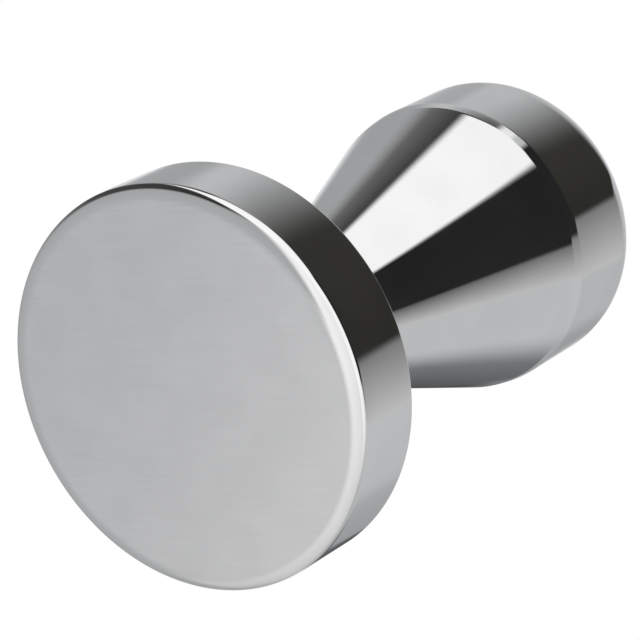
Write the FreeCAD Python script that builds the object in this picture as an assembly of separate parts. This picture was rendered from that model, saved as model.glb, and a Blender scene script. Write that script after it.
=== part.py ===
import FreeCAD, Part
import math
import os

# Espresso tamper, 58 mm, in stainless steel.
#
# Frame: +Z is up along the axis of symmetry, from the tamping face towards the palm. The origin is the
# centre of the tamping face, so the tamper stands on z = 0. Millimetres.
#
# How it comes apart: the handle unscrews from the base on an M8 stud, which is locked into the neck.
# A nylon washer sits in a recess of the base and keeps the handle from working loose. The handle is
# bored from its top to save weight, and a pressed-in plug closes the bore.

# Driving dimensions
BASE_RADIUS = 29.0
BASE_THICKNESS = 12.4
HEIGHT = 88.5
HEAD_RADIUS = 22.3
HEAD_CORNER_Z = 69.5       # where the straight cone would meet the head's cylinder
CONE_HALF_ANGLE = 17.9     # degrees
NECK_RADIUS = 7.5

# Edges of the base. The tamping face rolls off slightly before its rounded edge.
FACE_ROLL_WIDTH = 1.7
FACE_ROLL_ANGLE = 6.0      # degrees
FACE_ROLL_ROUND = 8.0
FACE_EDGE_ROUND = 1.4
BACK_EDGE_ROUND = 0.5

# Edges of the head. A narrow bevel lies between the cone and the cylinder.
PALM_EDGE_ROUND = 6.0
HEAD_BEVEL_REACH = 0.88    # along the axis, to each side of the corner
HEAD_BEVEL_ROUND = 2.5
WAIST_ROUND = 14.0

# Foot of the handle, which flares out from the neck and bears on the washer
FOOT_RADIUS = 9.0
FOOT_EDGE_HEIGHT = 0.9
FOOT_FLARE_HEIGHT = 2.4
FOOT_FLARE_ROUND = 8.0
FOOT_EDGE_ROUND = 0.3
FOOT_GAP = 0.4             # shadow gap between the base and the foot

# M8 stud
STUD_RADIUS = 4.0
STUD_LENGTH = 22.0
STUD_CHAMFER = 0.7
STUD_BOTTOM_Z = 3.8
SOCKET_ACROSS_FLATS = 4.0
SOCKET_DEPTH = 5.0
THREAD_CLEARANCE = 0.06    # radial, between the stud and the base's hole
BASE_HOLE_FLOOR_Z = 3.0
NECK_HOLE_SPARE = 2.2      # depth of the neck's hole beyond the end of the stud
HOLE_CHAMFER = 0.4
DRILL_POINT_ANGLE = 59.0   # degrees, half of the point angle

# Washer and its recess
WASHER_INNER_RADIUS = 4.4
WASHER_OUTER_RADIUS = 7.0
WASHER_THICKNESS = 1.0
WASHER_CLEARANCE = 0.3
SEAT_GAP = 0.01

# Bore of the handle and the plug that closes it
PLUG_RADIUS = 16.0
PLUG_THICKNESS = 5.0
PLUG_CHAMFER = 0.2
PLUG_SKIRT_RADIUS = 12.0
PLUG_SKIRT_DEPTH = 3.0
WIDE_BORE_RADIUS = 14.0
WIDE_BORE_FLOOR_Z = 60.0
NARROW_BORE_RADIUS = 9.0
NARROW_BORE_FLOOR_Z = 42.0

# Positions that follow from the dimensions above
FOOT_Z = BASE_THICKNESS + FOOT_GAP
FLARE_Z = FOOT_Z + FOOT_EDGE_HEIGHT
NECK_BOTTOM_Z = FLARE_Z + FOOT_FLARE_HEIGHT
CONE_SLOPE = math.tan(math.radians(CONE_HALF_ANGLE))
NECK_TOP_Z = HEAD_CORNER_Z - (HEAD_RADIUS - NECK_RADIUS) / CONE_SLOPE
WASHER_Z = FOOT_Z - SEAT_GAP - WASHER_THICKNESS
RECESS_FLOOR_Z = WASHER_Z - SEAT_GAP
STUD_TOP_Z = STUD_BOTTOM_Z + STUD_LENGTH
NECK_HOLE_TOP_Z = STUD_TOP_Z + NECK_HOLE_SPARE
PLUG_SEAT_Z = HEIGHT - PLUG_THICKNESS
FACE_FLAT_RADIUS = BASE_RADIUS - FACE_ROLL_WIDTH
FACE_ROLL_TOP_Z = FACE_ROLL_WIDTH * math.tan(math.radians(FACE_ROLL_ANGLE))
BEVEL_BOTTOM_Z = HEAD_CORNER_Z - HEAD_BEVEL_REACH
BEVEL_BOTTOM_RADIUS = HEAD_RADIUS - CONE_SLOPE * HEAD_BEVEL_REACH
BEVEL_TOP_Z = HEAD_CORNER_Z + HEAD_BEVEL_REACH

ORIGIN = FreeCAD.Vector(0, 0, 0)
UP = FreeCAD.Vector(0, 0, 1)
MATCH = 0.01               # how close an edge's radius and height are to those asked for


def turned(outline):
    """The solid swept once round Z by a closed outline of (radius, z) points."""
    points = [FreeCAD.Vector(radius, 0, z) for radius, z in outline]
    face = Part.Face(Part.makePolygon(points + points[:1]))
    return face.revolve(ORIGIN, UP, 360)


def cylinder(radius, bottom, top):
    return Part.makeCylinder(radius, top - bottom, FreeCAD.Vector(0, 0, bottom))


def drilled(radius, mouth, floor):
    """A drilled hole, from its mouth to the end of its full diameter, with the drill's point beyond."""
    point = radius / math.tan(math.radians(DRILL_POINT_ANGLE))
    tip = floor + math.copysign(point, floor - mouth)
    return turned([(0, mouth), (radius, mouth), (radius, floor), (0, tip)])


def ring(shape, radius, z):
    """The circular edges of a turned shape at that radius and height."""
    return [
        edge
        for edge in shape.Edges
        if isinstance(edge.Curve, Part.Circle)
        and abs(edge.Curve.Radius - radius) < MATCH
        and abs(edge.Curve.Center.z - z) < MATCH
    ]


def make_tamping_base():
    disc = turned([
        (0, 0),
        (FACE_FLAT_RADIUS, 0),
        (BASE_RADIUS, FACE_ROLL_TOP_Z),
        (BASE_RADIUS, BASE_THICKNESS),
        (0, BASE_THICKNESS),
    ])
    disc = disc.makeFillet(FACE_EDGE_ROUND, ring(disc, BASE_RADIUS, FACE_ROLL_TOP_Z))
    disc = disc.makeFillet(FACE_ROLL_ROUND, ring(disc, FACE_FLAT_RADIUS, 0))
    disc = disc.makeFillet(BACK_EDGE_ROUND, ring(disc, BASE_RADIUS, BASE_THICKNESS))
    hole_radius = STUD_RADIUS + THREAD_CLEARANCE
    disc = disc.cut(cylinder(WASHER_OUTER_RADIUS + WASHER_CLEARANCE, RECESS_FLOOR_Z, HEIGHT))
    disc = disc.cut(cylinder(hole_radius, BASE_HOLE_FLOOR_Z, RECESS_FLOOR_Z))
    return disc.makeChamfer(HOLE_CHAMFER, ring(disc, hole_radius, RECESS_FLOOR_Z))


def make_nylon_washer():
    top = WASHER_Z + WASHER_THICKNESS
    disc = cylinder(WASHER_OUTER_RADIUS, WASHER_Z, top)
    return disc.cut(cylinder(WASHER_INNER_RADIUS, WASHER_Z, top))


def make_threaded_stud():
    rod = cylinder(STUD_RADIUS, STUD_BOTTOM_Z, STUD_TOP_Z)
    ends = ring(rod, STUD_RADIUS, STUD_BOTTOM_Z) + ring(rod, STUD_RADIUS, STUD_TOP_Z)
    rod = rod.makeChamfer(STUD_CHAMFER, ends)
    corner_radius = SOCKET_ACROSS_FLATS / math.sqrt(3)
    corners = [
        FreeCAD.Vector(corner_radius * math.cos(angle), corner_radius * math.sin(angle), STUD_BOTTOM_Z)
        for angle in (math.radians(60 * k) for k in range(7))
    ]
    socket = Part.Face(Part.makePolygon(corners)).extrude(UP * SOCKET_DEPTH)
    return rod.cut(socket)


def handle_blank():
    """The handle before its edges are rounded and its holes are made."""
    return turned([
        (0, FOOT_Z),
        (FOOT_RADIUS, FOOT_Z),
        (FOOT_RADIUS, FLARE_Z),
        (NECK_RADIUS, NECK_BOTTOM_Z),
        (NECK_RADIUS, NECK_TOP_Z),
        (BEVEL_BOTTOM_RADIUS, BEVEL_BOTTOM_Z),
        (HEAD_RADIUS, BEVEL_TOP_Z),
        (HEAD_RADIUS, HEIGHT),
        (0, HEIGHT),
    ])


def make_handle_body():
    body = handle_blank()
    body = body.makeFillet(PALM_EDGE_ROUND, ring(body, HEAD_RADIUS, HEIGHT))
    bevel_edges = ring(body, BEVEL_BOTTOM_RADIUS, BEVEL_BOTTOM_Z) + ring(body, HEAD_RADIUS, BEVEL_TOP_Z)
    body = body.makeFillet(HEAD_BEVEL_ROUND, bevel_edges)
    body = body.makeFillet(WAIST_ROUND, ring(body, NECK_RADIUS, NECK_TOP_Z))
    body = body.makeFillet(FOOT_FLARE_ROUND, ring(body, NECK_RADIUS, NECK_BOTTOM_Z))
    foot_edges = ring(body, FOOT_RADIUS, FOOT_Z) + ring(body, FOOT_RADIUS, FLARE_Z)
    body = body.makeFillet(FOOT_EDGE_ROUND, foot_edges)
    for cavity in (
        cylinder(PLUG_RADIUS, PLUG_SEAT_Z, HEIGHT),
        cylinder(WIDE_BORE_RADIUS, WIDE_BORE_FLOOR_Z, HEIGHT),
        drilled(NARROW_BORE_RADIUS, HEIGHT, NARROW_BORE_FLOOR_Z),
        drilled(STUD_RADIUS, FOOT_Z, NECK_HOLE_TOP_Z),
    ):
        body = body.cut(cavity)
    body = body.makeChamfer(PLUG_CHAMFER, ring(body, PLUG_RADIUS, HEIGHT))
    return body.makeChamfer(HOLE_CHAMFER, ring(body, STUD_RADIUS, FOOT_Z))


def make_palm_plug():
    plug = turned([
        (0, HEIGHT),
        (PLUG_RADIUS, HEIGHT),
        (PLUG_RADIUS, PLUG_SEAT_Z),
        (WIDE_BORE_RADIUS, PLUG_SEAT_Z),
        (WIDE_BORE_RADIUS, PLUG_SEAT_Z - PLUG_SKIRT_DEPTH),
        (PLUG_SKIRT_RADIUS, PLUG_SEAT_Z - PLUG_SKIRT_DEPTH),
        (PLUG_SKIRT_RADIUS, PLUG_SEAT_Z),
        (0, PLUG_SEAT_Z),
    ])
    return plug.makeChamfer(PLUG_CHAMFER, ring(plug, PLUG_RADIUS, HEIGHT))


PIECES = {
    "tamping_base": make_tamping_base,
    "nylon_washer": make_nylon_washer,
    "threaded_stud": make_threaded_stud,
    "handle_body": make_handle_body,
    "palm_plug": make_palm_plug,
}


def main():
    os.makedirs("parts", exist_ok=True)
    for name, make in PIECES.items():
        shape = make()
        if not shape.isValid() or len(shape.Solids) != 1:
            raise SystemExit(f"{name} is not one valid solid")
        shape.exportStep(f"parts/{name}.step")
        print(name, round(shape.Volume / 1000, 3), "cm3")


main()
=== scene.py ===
import math
from dataclasses import dataclass

import bpy
from mathutils import Matrix, Vector


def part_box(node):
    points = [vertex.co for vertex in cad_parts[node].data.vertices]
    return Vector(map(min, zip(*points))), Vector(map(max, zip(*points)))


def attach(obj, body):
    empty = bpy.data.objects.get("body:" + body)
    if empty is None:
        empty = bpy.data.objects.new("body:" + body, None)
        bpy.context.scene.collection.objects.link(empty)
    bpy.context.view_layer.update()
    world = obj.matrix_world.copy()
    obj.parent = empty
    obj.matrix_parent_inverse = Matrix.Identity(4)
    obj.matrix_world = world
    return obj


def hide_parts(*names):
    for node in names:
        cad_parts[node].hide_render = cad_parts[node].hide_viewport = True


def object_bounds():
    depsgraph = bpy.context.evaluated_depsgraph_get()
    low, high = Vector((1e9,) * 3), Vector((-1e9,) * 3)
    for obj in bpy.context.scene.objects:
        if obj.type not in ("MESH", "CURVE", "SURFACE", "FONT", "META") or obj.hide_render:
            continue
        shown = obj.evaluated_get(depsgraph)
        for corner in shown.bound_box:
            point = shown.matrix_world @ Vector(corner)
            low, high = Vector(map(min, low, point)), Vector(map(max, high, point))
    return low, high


# Espresso tamper in stainless steel: polished all over but for its tamping face, which is straight-brushed.
#
# The tamper stands on its tamping face at z = 0, and the main camera looks up at it from below, so that
# it sees that face. The floor is one-sided, to be seen only from above. Every turned piece is turned again
# here, because a mirror polish needs surface normals that are exact, and the stud gets its real thread.

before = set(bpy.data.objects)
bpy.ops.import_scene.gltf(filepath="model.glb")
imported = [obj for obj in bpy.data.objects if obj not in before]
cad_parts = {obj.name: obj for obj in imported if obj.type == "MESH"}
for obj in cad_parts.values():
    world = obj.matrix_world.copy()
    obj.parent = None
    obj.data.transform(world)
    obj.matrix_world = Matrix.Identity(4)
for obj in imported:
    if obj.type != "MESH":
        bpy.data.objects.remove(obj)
cad_low, cad_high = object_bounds()

MM = 0.001

# Camera: where it stands, what it looks at, and which way is up in its picture
CAMERA_PLACE = Vector((0.27074, -0.11366, -0.33103))
CAMERA_AIM = Vector((0.0, 0.00026, 0.0336))
CAMERA_UP = Vector((0.0, -0.9545, 0.2982))
CAMERA_LENS = 184.3
CAMERA_SENSOR = 36.0

# Turning
SEGMENTS = 256
ARC_STEP = math.radians(4)
EDGE_BREAK = 0.04          # mm, the rounding of an edge that is called sharp

# Sizes in millimetres that the frame doesn't give
FACE_ROLL_WIDTH = 1.7
FACE_ROLL_ANGLE = 6.0
FACE_ROLL_ROUND = 8.0
FACE_EDGE_ROUND = 1.4
BACK_EDGE_ROUND = 0.5
BASE_HOLE_RADIUS = 4.06
BASE_HOLE_FLOOR = 3.0
RECESS_RADIUS = 7.3
RECESS_DEPTH = 0.62
HOLE_CHAMFER = 0.4
FOOT_RADIUS = 9.0
FOOT_EDGE_HEIGHT = 0.9
FOOT_FLARE_HEIGHT = 2.4
FOOT_FLARE_ROUND = 8.0
FOOT_EDGE_ROUND = 0.3
NECK_RADIUS = 7.5
WAIST_ROUND = 14.0
CONE_SLOPE = math.tan(math.radians(17.9))
HEAD_CORNER = 69.5
HEAD_BEVEL_REACH = 0.88
HEAD_BEVEL_ROUND = 2.5
PALM_EDGE_ROUND = 6.0
PLUG_CHAMFER = 0.2
PLUG_THICKNESS = 5.0
PLUG_SKIRT_RADIUS = 12.0
WIDE_BORE = (14.0, 60.0)   # radius and floor
NARROW_BORE = (9.0, 42.0)
NARROW_BORE_TIP = 36.6
NECK_HOLE_TOP = 28.0
NECK_HOLE_TIP = 30.4
WASHER_INNER_RADIUS = 4.4
WASHER_EDGE_ROUND = 0.15
THREAD_PITCH = 1.25
THREAD_DEPTH = 0.767
THREAD_CREST = 1 / 16      # half of the crest's flat, as a share of the pitch
THREAD_ROOT = 1 / 8        # half of the root's flat
THREAD_SEGMENTS = 96
THREAD_ROWS = 16           # rows of points to a pitch
THREAD_SHARP_ANGLE = math.radians(70)
STUD_CHAMFER = 0.7
SOCKET_ACROSS_FLATS = 4.0
SOCKET_DEPTH = 5.0


# ---- Turning -----------------------------------------------------------------------------------------

def outward(start, end):
    """The unit normal on the right of the way from start to end, which is the outside of an outline."""
    way = (end - start).normalized()
    return Vector((way.y, -way.x))


def rounded(before, corner, after, radius):
    """Points and normals of the arc that rounds one corner of an outline."""
    first, last = outward(before, corner), outward(corner, after)
    turn = first.angle_signed(last)
    reach = radius * math.tan(abs(turn) / 2)
    start = corner + (before - corner).normalized() * reach
    side = 1 if turn < 0 else -1
    centre = start - first * radius * side
    steps = max(2, math.ceil(abs(turn) / ARC_STEP))
    arc = []
    for k in range(steps + 1):
        normal = first.copy()
        normal.rotate(Matrix.Rotation(-turn * k / steps, 2))
        arc.append((centre + normal * radius * side, normal))
    return arc


def outline_points(corners, closed):
    """Every (point, normal) along an outline of (radius, height, rounding) corners, in millimetres."""
    points = [Vector(corner[:2]) for corner in corners]
    count = len(points)
    path = []
    for k, (_, _, rounding) in enumerate(corners):
        if not closed and k == 0:
            path.append((points[k], outward(points[k], points[k + 1])))
        elif not closed and k == count - 1:
            path.append((points[k], outward(points[k - 1], points[k])))
        else:
            path += rounded(points[k - 1], points[k], points[(k + 1) % count], rounding)
    return path


def ring_mesh(name, rings, closed=False):
    """A piece skinned over rings of points, which go round counter-clockwise seen from above."""
    vertices = [point for ring in rings for point in ring]
    numbers = []
    for ring in rings:
        first = sum(len(row) for row in numbers)
        numbers.append(range(first, first + len(ring)))
    faces = []
    for lower, upper in zip(numbers, numbers[1:] + numbers[:1] if closed else numbers[1:]):
        segments = max(len(lower), len(upper))
        for k in range(segments):
            following = (k + 1) % segments
            corners = (
                lower[k % len(lower)],
                lower[following % len(lower)],
                upper[following % len(upper)],
                upper[k % len(upper)],
            )
            faces.append(list(dict.fromkeys(corners)))
    mesh = bpy.data.meshes.new(name)
    mesh.from_pydata(vertices, [], faces)
    mesh.shade_smooth()
    piece = bpy.data.objects.new(name, mesh)
    bpy.context.scene.collection.objects.link(piece)
    return piece


def turned(name, corners, closed=False):
    """A solid of revolution about Z with exact normals. An open outline starts and ends on the axis."""
    normals, rings = [], []
    for point, normal in outline_points(corners, closed):
        radius, height = point * MM
        on_axis = point.x < EDGE_BREAK / 2
        ring = []
        for k in range(1 if on_axis else SEGMENTS):
            angle = 2 * math.pi * k / SEGMENTS
            across = Vector((math.cos(angle), math.sin(angle), 0))
            ring.append(across * radius + Vector((0, 0, height)))
            side = 0.0 if on_axis else normal.x
            normals.append((across * side + Vector((0, 0, normal.y))).normalized())
        rings.append(ring)
    piece = ring_mesh(name, rings, closed)
    piece.data.normals_split_custom_set_from_vertices(normals)
    return piece


def millimetres(node):
    """A node's outer radius, lowest and highest point, in millimetres."""
    low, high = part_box(node)
    return high.x / MM, low.z / MM, high.z / MM


def tamping_base():
    radius, bottom, top = millimetres("tamping_base")
    roll_top = bottom + FACE_ROLL_WIDTH * math.tan(math.radians(FACE_ROLL_ANGLE))
    recess = top - RECESS_DEPTH
    return turned("tamping_base_turned", [
        (0, bottom, 0),
        (radius - FACE_ROLL_WIDTH, bottom, FACE_ROLL_ROUND),
        (radius, roll_top, FACE_EDGE_ROUND),
        (radius, top, BACK_EDGE_ROUND),
        (RECESS_RADIUS, top, EDGE_BREAK),
        (RECESS_RADIUS, recess, EDGE_BREAK),
        (BASE_HOLE_RADIUS + HOLE_CHAMFER, recess, EDGE_BREAK),
        (BASE_HOLE_RADIUS, recess - HOLE_CHAMFER, EDGE_BREAK),
        (BASE_HOLE_RADIUS, BASE_HOLE_FLOOR, EDGE_BREAK),
        (0, BASE_HOLE_FLOOR, 0),
    ])


def handle_body():
    head, foot, top = millimetres("handle_body")
    plug = millimetres("palm_plug")[0]
    stud = millimetres("threaded_stud")[0]
    flare = foot + FOOT_EDGE_HEIGHT
    bevel_radius = head - CONE_SLOPE * HEAD_BEVEL_REACH
    return turned("handle_body_turned", [
        (0, NECK_HOLE_TIP, 0),
        (stud, NECK_HOLE_TOP, EDGE_BREAK),
        (stud, foot + HOLE_CHAMFER, EDGE_BREAK),
        (stud + HOLE_CHAMFER, foot, EDGE_BREAK),
        (FOOT_RADIUS, foot, FOOT_EDGE_ROUND),
        (FOOT_RADIUS, flare, FOOT_EDGE_ROUND),
        (NECK_RADIUS, flare + FOOT_FLARE_HEIGHT, FOOT_FLARE_ROUND),
        (NECK_RADIUS, HEAD_CORNER - (head - NECK_RADIUS) / CONE_SLOPE, WAIST_ROUND),
        (bevel_radius, HEAD_CORNER - HEAD_BEVEL_REACH, HEAD_BEVEL_ROUND),
        (head, HEAD_CORNER + HEAD_BEVEL_REACH, HEAD_BEVEL_ROUND),
        (head, top, PALM_EDGE_ROUND),
        (plug + PLUG_CHAMFER, top, EDGE_BREAK),
        (plug, top - PLUG_CHAMFER, EDGE_BREAK),
        (plug, top - PLUG_THICKNESS, EDGE_BREAK),
        (WIDE_BORE[0], top - PLUG_THICKNESS, EDGE_BREAK),
        (WIDE_BORE[0], WIDE_BORE[1], EDGE_BREAK),
        (NARROW_BORE[0], WIDE_BORE[1], EDGE_BREAK),
        (NARROW_BORE[0], NARROW_BORE[1], EDGE_BREAK),
        (0, NARROW_BORE_TIP, 0),
    ])


def palm_plug():
    radius, skirt_bottom, top = millimetres("palm_plug")
    seat = top - PLUG_THICKNESS
    return turned("palm_plug_turned", [
        (0, seat, 0),
        (PLUG_SKIRT_RADIUS, seat, EDGE_BREAK),
        (PLUG_SKIRT_RADIUS, skirt_bottom, EDGE_BREAK),
        (WIDE_BORE[0], skirt_bottom, EDGE_BREAK),
        (WIDE_BORE[0], seat, EDGE_BREAK),
        (radius, seat, EDGE_BREAK),
        (radius, top - PLUG_CHAMFER, EDGE_BREAK),
        (radius - PLUG_CHAMFER, top, EDGE_BREAK),
        (0, top, 0),
    ])


def nylon_washer():
    radius, bottom, top = millimetres("nylon_washer")
    return turned("nylon_washer_turned", [
        (WASHER_INNER_RADIUS, bottom, WASHER_EDGE_ROUND),
        (radius, bottom, WASHER_EDGE_ROUND),
        (radius, top, WASHER_EDGE_ROUND),
        (WASHER_INNER_RADIUS, top, WASHER_EDGE_ROUND),
    ], closed=True)


def thread_depth(turns):
    """How deep the thread is, as a share of its full depth, that many turns past the middle of a crest."""
    from_crest = abs((turns + 0.5) % 1 - 0.5)
    return min(max((from_crest - THREAD_CREST) / (0.5 - THREAD_ROOT - THREAD_CREST), 0), 1)


def thread_ring(radius, height, from_end):
    """One ring of a right-hand thread, chamfered where it nears an end of the stud."""
    limit = radius - STUD_CHAMFER + min(from_end, STUD_CHAMFER)
    ring = []
    for k in range(THREAD_SEGMENTS):
        angle = 2 * math.pi * k / THREAD_SEGMENTS
        depth = THREAD_DEPTH * thread_depth(height / THREAD_PITCH - k / THREAD_SEGMENTS)
        reach = min(radius - depth, limit)
        ring.append((reach * math.cos(angle) * MM, reach * math.sin(angle) * MM, height * MM))
    return ring


def hexagon_ring(height):
    """A ring round the wall of the hexagon socket."""
    ring = []
    for k in range(THREAD_SEGMENTS):
        angle = 2 * math.pi * k / THREAD_SEGMENTS
        reach = SOCKET_ACROSS_FLATS / 2 / math.cos(angle % math.radians(60) - math.radians(30))
        ring.append((reach * math.cos(angle) * MM, reach * math.sin(angle) * MM, height * MM))
    return ring


def threaded_stud():
    """The stud with its real thread, from the floor of its socket round to the middle of its top."""
    radius, bottom, top = millimetres("threaded_stud")
    rows = round((top - bottom) / THREAD_PITCH * THREAD_ROWS)
    socket_floor = bottom + SOCKET_DEPTH
    rings = [[(0, 0, socket_floor * MM)], hexagon_ring(socket_floor), hexagon_ring(bottom)]
    for k in range(rows + 1):
        height = bottom + (top - bottom) * k / rows
        rings.append(thread_ring(radius, height, min(height - bottom, top - height)))
    rings.append([(0, 0, top * MM)])
    stud = ring_mesh("threaded_stud_cut", rings)
    stud.data.set_sharp_from_angle(angle=THREAD_SHARP_ANGLE)
    return stud


# ---- Shader nodes ------------------------------------------------------------------------------------

NOISE_RANGE = (0.25, 0.75)     # the noise values that become 0 and 1


class Nodes:
    """Short forms for the nodes of one tree."""

    def __init__(self, tree):
        self.tree = tree

    def add(self, kind, **settings):
        node = self.tree.nodes.new(kind)
        for key, value in settings.items():
            setattr(node, key, value)
        return node

    def put(self, value, socket):
        if isinstance(value, bpy.types.NodeSocket):
            self.tree.links.new(value, socket)
        else:
            socket.default_value = value

    def math(self, operation, first, second=0.0, third=0.0, clamp=False):
        node = self.add("ShaderNodeMath", operation=operation, use_clamp=clamp)
        for value, socket in zip((first, second, third), node.inputs):
            self.put(value, socket)
        return node.outputs[0]

    def vector(self, operation, first, second=(0.0, 0.0, 0.0)):
        node = self.add("ShaderNodeVectorMath", operation=operation)
        self.put(first, node.inputs[0])
        self.put(second, node.inputs[1])
        return node.outputs["Value" if operation == "LENGTH" else "Vector"]

    def mix(self, factor, first, second):
        node = self.add("ShaderNodeMix", data_type="RGBA")
        for value, name in ((factor, "Factor_Float"), (first, "A_Color"), (second, "B_Color")):
            self.put(value, next(socket for socket in node.inputs if socket.identifier == name))
        return next(socket for socket in node.outputs if socket.identifier == "Result_Color")

    def rising(self, value, low, high):
        """0 below low and 1 above high, smooth between."""
        node = self.add("ShaderNodeMapRange", interpolation_type="SMOOTHSTEP")
        self.put(value, node.inputs["Value"])
        self.put(low, node.inputs["From Min"])
        self.put(high, node.inputs["From Max"])
        return node.outputs["Result"]

    def place(self):
        """The place on the piece, in metres."""
        return self.add("ShaderNodeTexCoord").outputs["Object"]

    def radius(self, place):
        """The distance from the axis, in metres."""
        return self.vector("LENGTH", self.vector("MULTIPLY", place, (1.0, 1.0, 0.0)))

    def noise(self, place, size, detail=2.0):
        """0 to 1 in blotches of that size, which is one number or one for each axis."""
        sizes = size if isinstance(size, tuple) else (size, size, size)
        node = self.add("ShaderNodeTexNoise")
        self.put(self.vector("DIVIDE", place, sizes), node.inputs["Vector"])
        self.put(1.0, node.inputs["Scale"])
        self.put(detail, node.inputs["Detail"])
        return self.rising(node.outputs[0], *NOISE_RANGE)

    def between(self, share, low, high):
        return self.math("MULTIPLY_ADD", share, high - low, low)

    def bump(self, height, depth, shader):
        """Relief of the shader's surface, where height 1 stands out by depth."""
        node = self.add("ShaderNodeBump")
        self.put(height, node.inputs["Height"])
        self.put(depth, node.inputs["Distance"])
        self.put(node.outputs[0], shader.inputs["Normal"])


# ---- Materials ---------------------------------------------------------------------------------------

WHITE = (1.0, 1.0, 1.0, 1.0)
EDGE_TINT = (0.85, 0.85, 0.85, 1.0)    # dims the steel's reflections close to its outline
STEEL = (0.66, 0.66, 0.66)
STEEL_DARKER = (0.645, 0.645, 0.645)
STEEL_LIGHTER = (0.675, 0.675, 0.675)

# Polish
POLISH_HAZE_SIZE = 9 * MM
POLISH_ROUGHNESS = (0.02, 0.06)
MARK_SPACING = 0.12 * MM
MARK_DEPTH = 0.00003 * MM
SPECK_SPACING = 4 * MM
SPECK_EDGE = (0.015, 0.04)     # shares of the spacing
SPECK_ROUGHNESS = 0.15

# Brushing
BRUSHED_COLOURS = ((0.645, 0.644, 0.647), (0.69, 0.689, 0.692))
BRUSHED_CLOUD_SIZE = 8 * MM
BRUSHED_STREAK_SIZE = (12 * MM, 0.4 * MM, 5 * MM)
BRUSHED_ROUGHNESS = (0.27, 0.32)
BRUSHED_STRETCH = 0.4
STREAK_DEPTH = 0.0003 * MM
POLISHED_AWAY = (26.3 * MM, 28.2 * MM)     # radii between which the brushing fades out

# Rolled steel
STUD_COLOURS = ((0.4, 0.4, 0.41), (0.58, 0.58, 0.57))
STUD_PATCH_SIZE = 1.5 * MM
STUD_GRAIN_SIZE = (0.3 * MM, 0.3 * MM, 0.06 * MM)
STUD_ROUGHNESS = (0.38, 0.2)
STUD_GRAIN_DEPTH = 0.002 * MM

# Nylon
NYLON_COLOURS = ((0.72, 0.7, 0.63), (0.82, 0.8, 0.74))
NYLON_PATCH_SIZE = 2 * MM
NYLON_GRAIN_SIZE = 0.15 * MM
NYLON_ROUGHNESS = (0.4, 0.6)
NYLON_GRAIN_DEPTH = 0.01 * MM


def principled(name, metallic):
    """A new material with its nodes and its Principled shader."""
    material = bpy.data.materials.new(name)
    material.use_nodes = True
    shader = material.node_tree.nodes["Principled BSDF"]
    shader.inputs["Metallic"].default_value = metallic
    shader.inputs["Specular Tint"].default_value = EDGE_TINT if metallic else WHITE
    return material, Nodes(material.node_tree), shader


def tinted(nodes, shader, share, dark, light):
    """The shader's colour, from dark to light as share goes from 0 to 1."""
    nodes.put(nodes.mix(share, (*dark, 1.0), (*light, 1.0)), shader.inputs["Base Color"])


def polished_steel():
    """A mirror polish with a little haze, the last faint turning marks and a few specks."""
    material, nodes, shader = principled("mirror_polished_steel", 1.0)
    place = nodes.place()
    haze = nodes.noise(place, POLISH_HAZE_SIZE)
    split = nodes.add("ShaderNodeSeparateXYZ")
    nodes.put(place, split.inputs[0])
    along = nodes.add("ShaderNodeCombineXYZ")      # across the marks, which go round the axis
    nodes.put(nodes.math("ADD", nodes.radius(place), split.outputs["Z"]), along.inputs["X"])
    marks = nodes.noise(along.outputs[0], MARK_SPACING)
    specks = nodes.add("ShaderNodeTexVoronoi")
    nodes.put(nodes.vector("DIVIDE", place, (SPECK_SPACING,) * 3), specks.inputs["Vector"])
    nodes.put(1.0, specks.inputs["Scale"])
    clean = nodes.rising(specks.outputs["Distance"], *SPECK_EDGE)
    tinted(nodes, shader, haze, STEEL_DARKER, STEEL_LIGHTER)
    roughness = nodes.between(haze, *POLISH_ROUGHNESS)
    dirt = nodes.math("SUBTRACT", 1.0, clean)
    nodes.put(nodes.math("MULTIPLY_ADD", dirt, SPECK_ROUGHNESS, roughness), shader.inputs["Roughness"])
    nodes.bump(marks, MARK_DEPTH, shader)
    return material


def brushed_steel():
    """A satin finish brushed straight along X, a little cloudy, that is polished away towards the edge."""
    material, nodes, shader = principled("straight_brushed_steel", 1.0)
    place = nodes.place()
    clouds = nodes.noise(place, BRUSHED_CLOUD_SIZE)
    streaks = nodes.noise(place, BRUSHED_STREAK_SIZE, detail=3.0)
    uneven = nodes.math("MULTIPLY_ADD", clouds, 0.5, nodes.math("MULTIPLY", streaks, 0.5))
    polish = nodes.rising(nodes.radius(place), *POLISHED_AWAY)
    brushed = nodes.mix(uneven, *[(*colour, 1.0) for colour in BRUSHED_COLOURS])
    nodes.put(nodes.mix(polish, brushed, (*STEEL, 1.0)), shader.inputs["Base Color"])
    gloss = nodes.between(uneven, *BRUSHED_ROUGHNESS)
    fading = nodes.math("MULTIPLY", gloss, nodes.math("SUBTRACT", 1.0, polish))
    nodes.put(nodes.math("MAXIMUM", fading, POLISH_ROUGHNESS[0]), shader.inputs["Roughness"])
    shader.inputs["Anisotropic"].default_value = BRUSHED_STRETCH
    across = nodes.add("ShaderNodeVectorTransform", convert_from="OBJECT", convert_to="WORLD")
    nodes.put((0.0, 1.0, 0.0), across.inputs[0])
    nodes.put(across.outputs[0], shader.inputs["Tangent"])
    relief = nodes.math("MULTIPLY", streaks, nodes.math("SUBTRACT", 1.0, polish))
    nodes.bump(relief, STREAK_DEPTH, shader)
    return material


def stud_steel():
    """Plain cold-rolled steel, its dark patches duller than its light ones."""
    material, nodes, shader = principled("rolled_stud_steel", 1.0)
    place = nodes.place()
    patches = nodes.noise(place, STUD_PATCH_SIZE, detail=4.0)
    grain = nodes.noise(place, STUD_GRAIN_SIZE)
    tinted(nodes, shader, patches, *STUD_COLOURS)
    nodes.put(nodes.between(patches, *STUD_ROUGHNESS), shader.inputs["Roughness"])
    nodes.bump(grain, STUD_GRAIN_DEPTH, shader)
    return material


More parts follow.
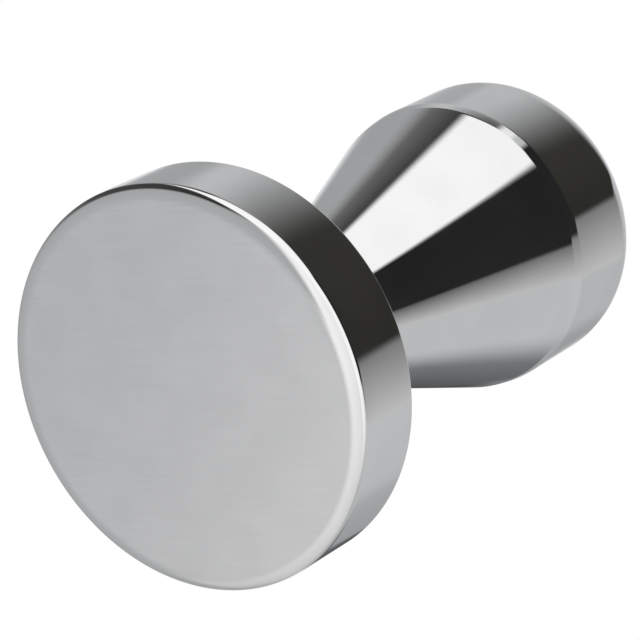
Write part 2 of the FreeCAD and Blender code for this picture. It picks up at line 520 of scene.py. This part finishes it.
def nylon():
    """Natural nylon, punched from sheet."""
    material, nodes, shader = principled("natural_nylon", 0.0)
    place = nodes.place()
    tinted(nodes, shader, nodes.noise(place, NYLON_PATCH_SIZE), *NYLON_COLOURS)
    grain = nodes.noise(place, NYLON_GRAIN_SIZE, detail=4.0)
    nodes.put(nodes.between(grain, *NYLON_ROUGHNESS), shader.inputs["Roughness"])
    nodes.bump(grain, NYLON_GRAIN_DEPTH, shader)
    return material


# ---- Studio ------------------------------------------------------------------------------------------

STUDIO_RADIUS = 0.5
STUDIO_CENTRE = (cad_low + cad_high) / 2
BEHIND_GREY = 150              # straight behind the tamper, where only steel at its outline looks
BEHIND_BLEND = (0.03, 0.1)

BACKDROP_BELOW = (0.78, 0.78, 0.79, 1.0)
HORIZON = (-0.25, 0.0)

FLOOR_DROP = 0.05 * MM
FLOOR_RADIUS = 0.9
FLOOR_FADE = (0.12, 0.6)
FLOOR_COLOUR = (0.7, 0.7, 0.71, 1.0)

OVERHEAD_PLACE = Vector((-0.15, 0.1, 0.6))
OVERHEAD_SIZE = 0.5
OVERHEAD_POWER = 3.0           # watts

# Tints of the studio's lights
NEUTRAL = (1.0, 1.0, 1.0)
WARM = (1.03, 1.0, 0.88)
COOL = (0.985, 1.0, 1.015)
BLUE = (0.955, 1.0, 1.05)

# The studio is a dome of soft-edged cards. A card's place and grey are what polished steel
# shows the main camera, by which way the steel faces: its azimuth round Z and its tilt above the horizon,
# in degrees. Tilt -90 faces down, like the tamping face. ROOM is the light between the cards, by tilt.
ROOM = [(-90, 168), (-55, 160), (-20, 184), (-5, 187), (3, 179), (10, 178), (35, 215)]


@dataclass
class Card:
    """A card of the studio: its greys at the left and right side, and its lower and upper edge as
    (tilt, left azimuth, right azimuth). soft is how wide its left, right, lower and upper edges blend."""
    name: str
    grey: tuple
    low: tuple
    high: tuple
    soft: tuple
    tint: tuple = NEUTRAL


CARDS = [
    Card("left wall", (210, 205), (-18, -165, -100), (30, -165, -92), (20, 14, 8, 20), COOL),
    Card("left dip", (158, 160), (-20, -121, -85), (3, -100, -85), (10, 14, 4, 8), COOL),
    Card("left glow", (187, 180), (-5, -84, -60), (12, -95, -60), (8, 16, 4, 10), COOL),
    Card("head dip", (166, 166), (-1, -86, -75), (10, -88, -77), (6, 6, 3, 3), COOL),
    Card("dark corner", (125, 55), (-24, 42, 84), (-9, 42, 84), (18, 8, 10, 4), BLUE),
    Card("far side", (155, 140), (3, 33, 105), (10, 36, 105), (10, 10, 5, 7), COOL),
    Card("side panel", (172, 145), (-11, 36, 66), (2, 36, 62), (10, 8, 3, 4), COOL),
    Card("dark corner top", (75, 60), (-12, 67, 84), (5, 58, 84), (8, 8, 4, 5), BLUE),
    Card("edge strip", (225, 200), (-32, 65, 105), (-19, 66, 105), (5, 10, 8, 3)),
    Card("dark wall", (75, 38), (-55, -125, -63), (-20, -140, -45), (50, 12, 10, 6)),
    Card("bench shade", (45, 186), (-20, -2, 11), (8, -26, 12), (2, 2, 4, 6)),
    Card("flag shade", (52, 42), (-5, -64, -6), (17, -26, -20), (34, 3, 3, 12), WARM),
    Card("key top", (247, 243), (-42, -64, 26), (-19.5, -88, 0), (7, 28, 4, 3)),
    Card("key low", (243, 188), (-86, -21, 100), (-40, -52, 70), (18, 20, 10, 12)),
    Card("softbox", (243, 243), (-20, -84, -29), (-6.3, -57, -49), (6, 3, 3, 2)),
    Card("frame", (110, 50), (-20, -92, -73), (-12, -86, -67), (12, 5, 2, 1)),
    Card("frame top", (60, 35), (-12, -88, -64), (-6.3, -80, -54), (12, 4, 1, 1)),
    Card("flag", (32, 34), (-20.3, -33, -1.5), (-12, -36, -2), (3, 2, 4, 1)),
    Card("flag top", (32, 36), (-13, -37, -2), (-4, -46, -5.5), (3, 3, 1, 3)),
]


def linear(grey):
    """The linear value of a grey that a screen shows as 0 to 255."""
    share = grey / 255
    return share / 12.92 if share < 0.04045 else ((share + 0.055) / 1.055) ** 2.4


def light_colour(grey, tint):
    """The light that steel must reflect to show that grey."""
    level = linear(grey) / STEEL[0]
    return (*[level * share for share in tint], 1.0)


def room_light(nodes, tilt):
    """The light between the cards."""
    ramp = nodes.add("ShaderNodeValToRGB")
    nodes.put(nodes.math("MULTIPLY_ADD", tilt, 1 / 180, 0.5), ramp.inputs["Fac"])
    elements = ramp.color_ramp.elements
    elements.remove(elements[1])
    for k, (place, grey) in enumerate(ROOM):
        element = elements[0] if k == 0 else elements.new(place / 180 + 0.5)
        element.position = place / 180 + 0.5
        element.color = light_colour(grey, COOL)
    return ramp.outputs["Color"]


def hang_card(nodes, light, card, azimuth, tilt):
    """The light of the studio with one more card in front."""
    low_tilt, low_left, low_right = card.low
    high_tilt, high_left, high_right = card.high
    soft_left, soft_right, soft_low, soft_high = (width / 2 for width in card.soft)
    rise = 1 / (high_tilt - low_tilt)
    share = nodes.math("MULTIPLY_ADD", tilt, rise, -low_tilt * rise)
    left = nodes.math("MULTIPLY_ADD", share, high_left - low_left, low_left)
    right = nodes.math("MULTIPLY_ADD", share, high_right - low_right, low_right)
    from_left = nodes.math("SUBTRACT", azimuth, left)
    to_right = nodes.math("SUBTRACT", right, azimuth)
    inside = nodes.math(
        "MULTIPLY",
        nodes.math(
            "MULTIPLY",
            nodes.rising(from_left, -soft_left, soft_left),
            nodes.rising(to_right, -soft_right, soft_right),
        ),
        nodes.math(
            "MULTIPLY",
            nodes.rising(tilt, low_tilt - soft_low, low_tilt + soft_low),
            nodes.rising(nodes.math("SUBTRACT", high_tilt, tilt), -soft_high, soft_high),
        ),
    )
    across = nodes.math("DIVIDE", from_left, nodes.math("SUBTRACT", right, left), clamp=True)
    colour = nodes.mix(across, *[light_colour(grey, card.tint) for grey in card.grey])
    return nodes.mix(inside, light, colour)


def studio_light(nodes):
    """What comes from each place of the dome: the card for the facing that mirrors it to the camera."""
    place = nodes.add("ShaderNodeNewGeometry").outputs["Position"]
    direction = nodes.vector("NORMALIZE", nodes.vector("SUBTRACT", place, tuple(STUDIO_CENTRE)))
    to_camera = (CAMERA_PLACE - STUDIO_CENTRE).normalized()
    halfway = nodes.vector("ADD", direction, tuple(to_camera))
    split = nodes.add("ShaderNodeSeparateXYZ")
    nodes.put(nodes.vector("NORMALIZE", halfway), split.inputs[0])
    azimuth = nodes.math("DEGREES", nodes.math("ARCTAN2", split.outputs["Y"], split.outputs["X"]))
    tilt = nodes.math("DEGREES", nodes.math("ARCSINE", split.outputs["Z"]))
    light = room_light(nodes, tilt)
    for card in CARDS:
        light = hang_card(nodes, light, card, azimuth, tilt)
    behind = nodes.rising(nodes.vector("LENGTH", halfway), *BEHIND_BLEND)
    return nodes.mix(behind, light_colour(BEHIND_GREY, COOL), light)


def dome():
    """The studio that the steel reflects. Nothing but reflections sees it."""
    bpy.ops.mesh.primitive_ico_sphere_add(subdivisions=5, radius=STUDIO_RADIUS, location=STUDIO_CENTRE)
    sphere = bpy.context.object
    sphere.name = "studio_dome"
    material = bpy.data.materials.new("studio_light")
    material.use_nodes = True
    material.cycles.emission_sampling = "NONE"
    nodes = Nodes(material.node_tree)
    material.node_tree.nodes.clear()
    glow = nodes.add("ShaderNodeEmission")
    nodes.put(studio_light(nodes), glow.inputs["Color"])
    output = nodes.add("ShaderNodeOutputMaterial")
    nodes.put(glow.outputs[0], output.inputs["Surface"])
    sphere.data.materials.append(material)
    sphere.visible_camera = False
    sphere.visible_diffuse = False
    sphere.visible_transmission = False
    sphere.visible_shadow = False


def backdrop():
    """Plain white round the tamper, pale grey below the horizon. It also lights what isn't polished."""
    world = bpy.data.worlds.new("backdrop")
    bpy.context.scene.world = world
    world.use_nodes = True
    nodes = Nodes(world.node_tree)
    split = nodes.add("ShaderNodeSeparateXYZ")
    nodes.put(nodes.add("ShaderNodeTexCoord").outputs["Generated"], split.inputs[0])
    above = nodes.rising(split.outputs["Z"], *HORIZON)
    background = world.node_tree.nodes["Background"]
    nodes.put(nodes.mix(above, BACKDROP_BELOW, WHITE), background.inputs["Color"])


def floor():
    """A pale floor that fades into the backdrop, seen from above only and left out of reflections."""
    bpy.ops.mesh.primitive_circle_add(
        vertices=128, radius=FLOOR_RADIUS, fill_type="NGON", location=(0, 0, cad_low.z - FLOOR_DROP)
    )
    disc = bpy.context.object
    disc.name = "floor"
    material = bpy.data.materials.new("pale_floor")
    material.use_nodes = True
    nodes = Nodes(material.node_tree)
    material.node_tree.nodes.clear()
    geometry = nodes.add("ShaderNodeNewGeometry")
    distance = nodes.vector("LENGTH", geometry.outputs["Position"])
    gone = nodes.rising(distance, *FLOOR_FADE)
    gone = nodes.math("MAXIMUM", gone, geometry.outputs["Backfacing"])
    matte = nodes.add("ShaderNodeBsdfDiffuse")
    matte.inputs["Color"].default_value = FLOOR_COLOUR
    clear = nodes.add("ShaderNodeBsdfTransparent")
    mixed = nodes.add("ShaderNodeMixShader")
    nodes.put(gone, mixed.inputs[0])
    nodes.put(matte.outputs[0], mixed.inputs[1])
    nodes.put(clear.outputs[0], mixed.inputs[2])
    output = nodes.add("ShaderNodeOutputMaterial")
    nodes.put(mixed.outputs[0], output.inputs["Surface"])
    disc.data.materials.append(material)
    disc.visible_glossy = False
    disc.visible_shadow = False


def overhead_light():
    """Soft light on the floor from above. The steel doesn't reflect it."""
    data = bpy.data.lights.new("overhead", "AREA")
    data.shape = "DISK"
    data.size = OVERHEAD_SIZE
    data.energy = OVERHEAD_POWER
    lamp = bpy.data.objects.new("overhead", data)
    lamp.location = OVERHEAD_PLACE
    lamp.rotation_euler = (-OVERHEAD_PLACE).to_track_quat("-Z", "Y").to_euler()
    lamp.visible_glossy = False
    bpy.context.scene.collection.objects.link(lamp)


def camera():
    """The main camera, with CAMERA_UP at the top of its picture."""
    data = bpy.data.cameras.new("camera")
    data.lens = CAMERA_LENS
    data.sensor_width = CAMERA_SENSOR
    data.clip_start = 0.01
    data.clip_end = 10.0
    eye = bpy.data.objects.new("camera", data)
    bpy.context.scene.collection.objects.link(eye)
    forward = (CAMERA_AIM - CAMERA_PLACE).normalized()
    right = forward.cross(CAMERA_UP).normalized()
    up = right.cross(forward)
    turn = Matrix((right, up, -forward)).transposed()
    eye.matrix_world = Matrix.Translation(CAMERA_PLACE) @ turn.to_4x4()
    bpy.context.scene.camera = eye
    bpy.context.scene.view_settings.view_transform = "Standard"


# ---- Assembly ----------------------------------------------------------------------------------------

FLAT_DOWN = -0.99              # faces whose normals point this far down are brushed
BRUSHED_SLOT = 1


def place(piece, node, body, slot, *materials):
    """Puts a piece in the place of its CAD node, on its body."""
    for material in materials:
        piece.data.materials.append(material)
    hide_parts(node)
    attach(piece, body)


camera()
dome()
backdrop()
floor()
overhead_light()

polished = polished_steel()
brushed = brushed_steel()
base = tamping_base()
place(base, "tamping_base", "base", "base_steel", polished, brushed)
for face in base.data.polygons:
    if face.normal.z < FLAT_DOWN and face.center.z < cad_low.z + FACE_ROLL_WIDTH * MM:
        face.material_index = BRUSHED_SLOT
place(handle_body(), "handle_body", "handle", "polished_steel", polished)
place(palm_plug(), "palm_plug", "handle", "polished_steel", polished)
place(nylon_washer(), "nylon_washer", "washer", "nylon", nylon())
place(threaded_stud(), "threaded_stud", "handle", "stud_steel", stud_steel())
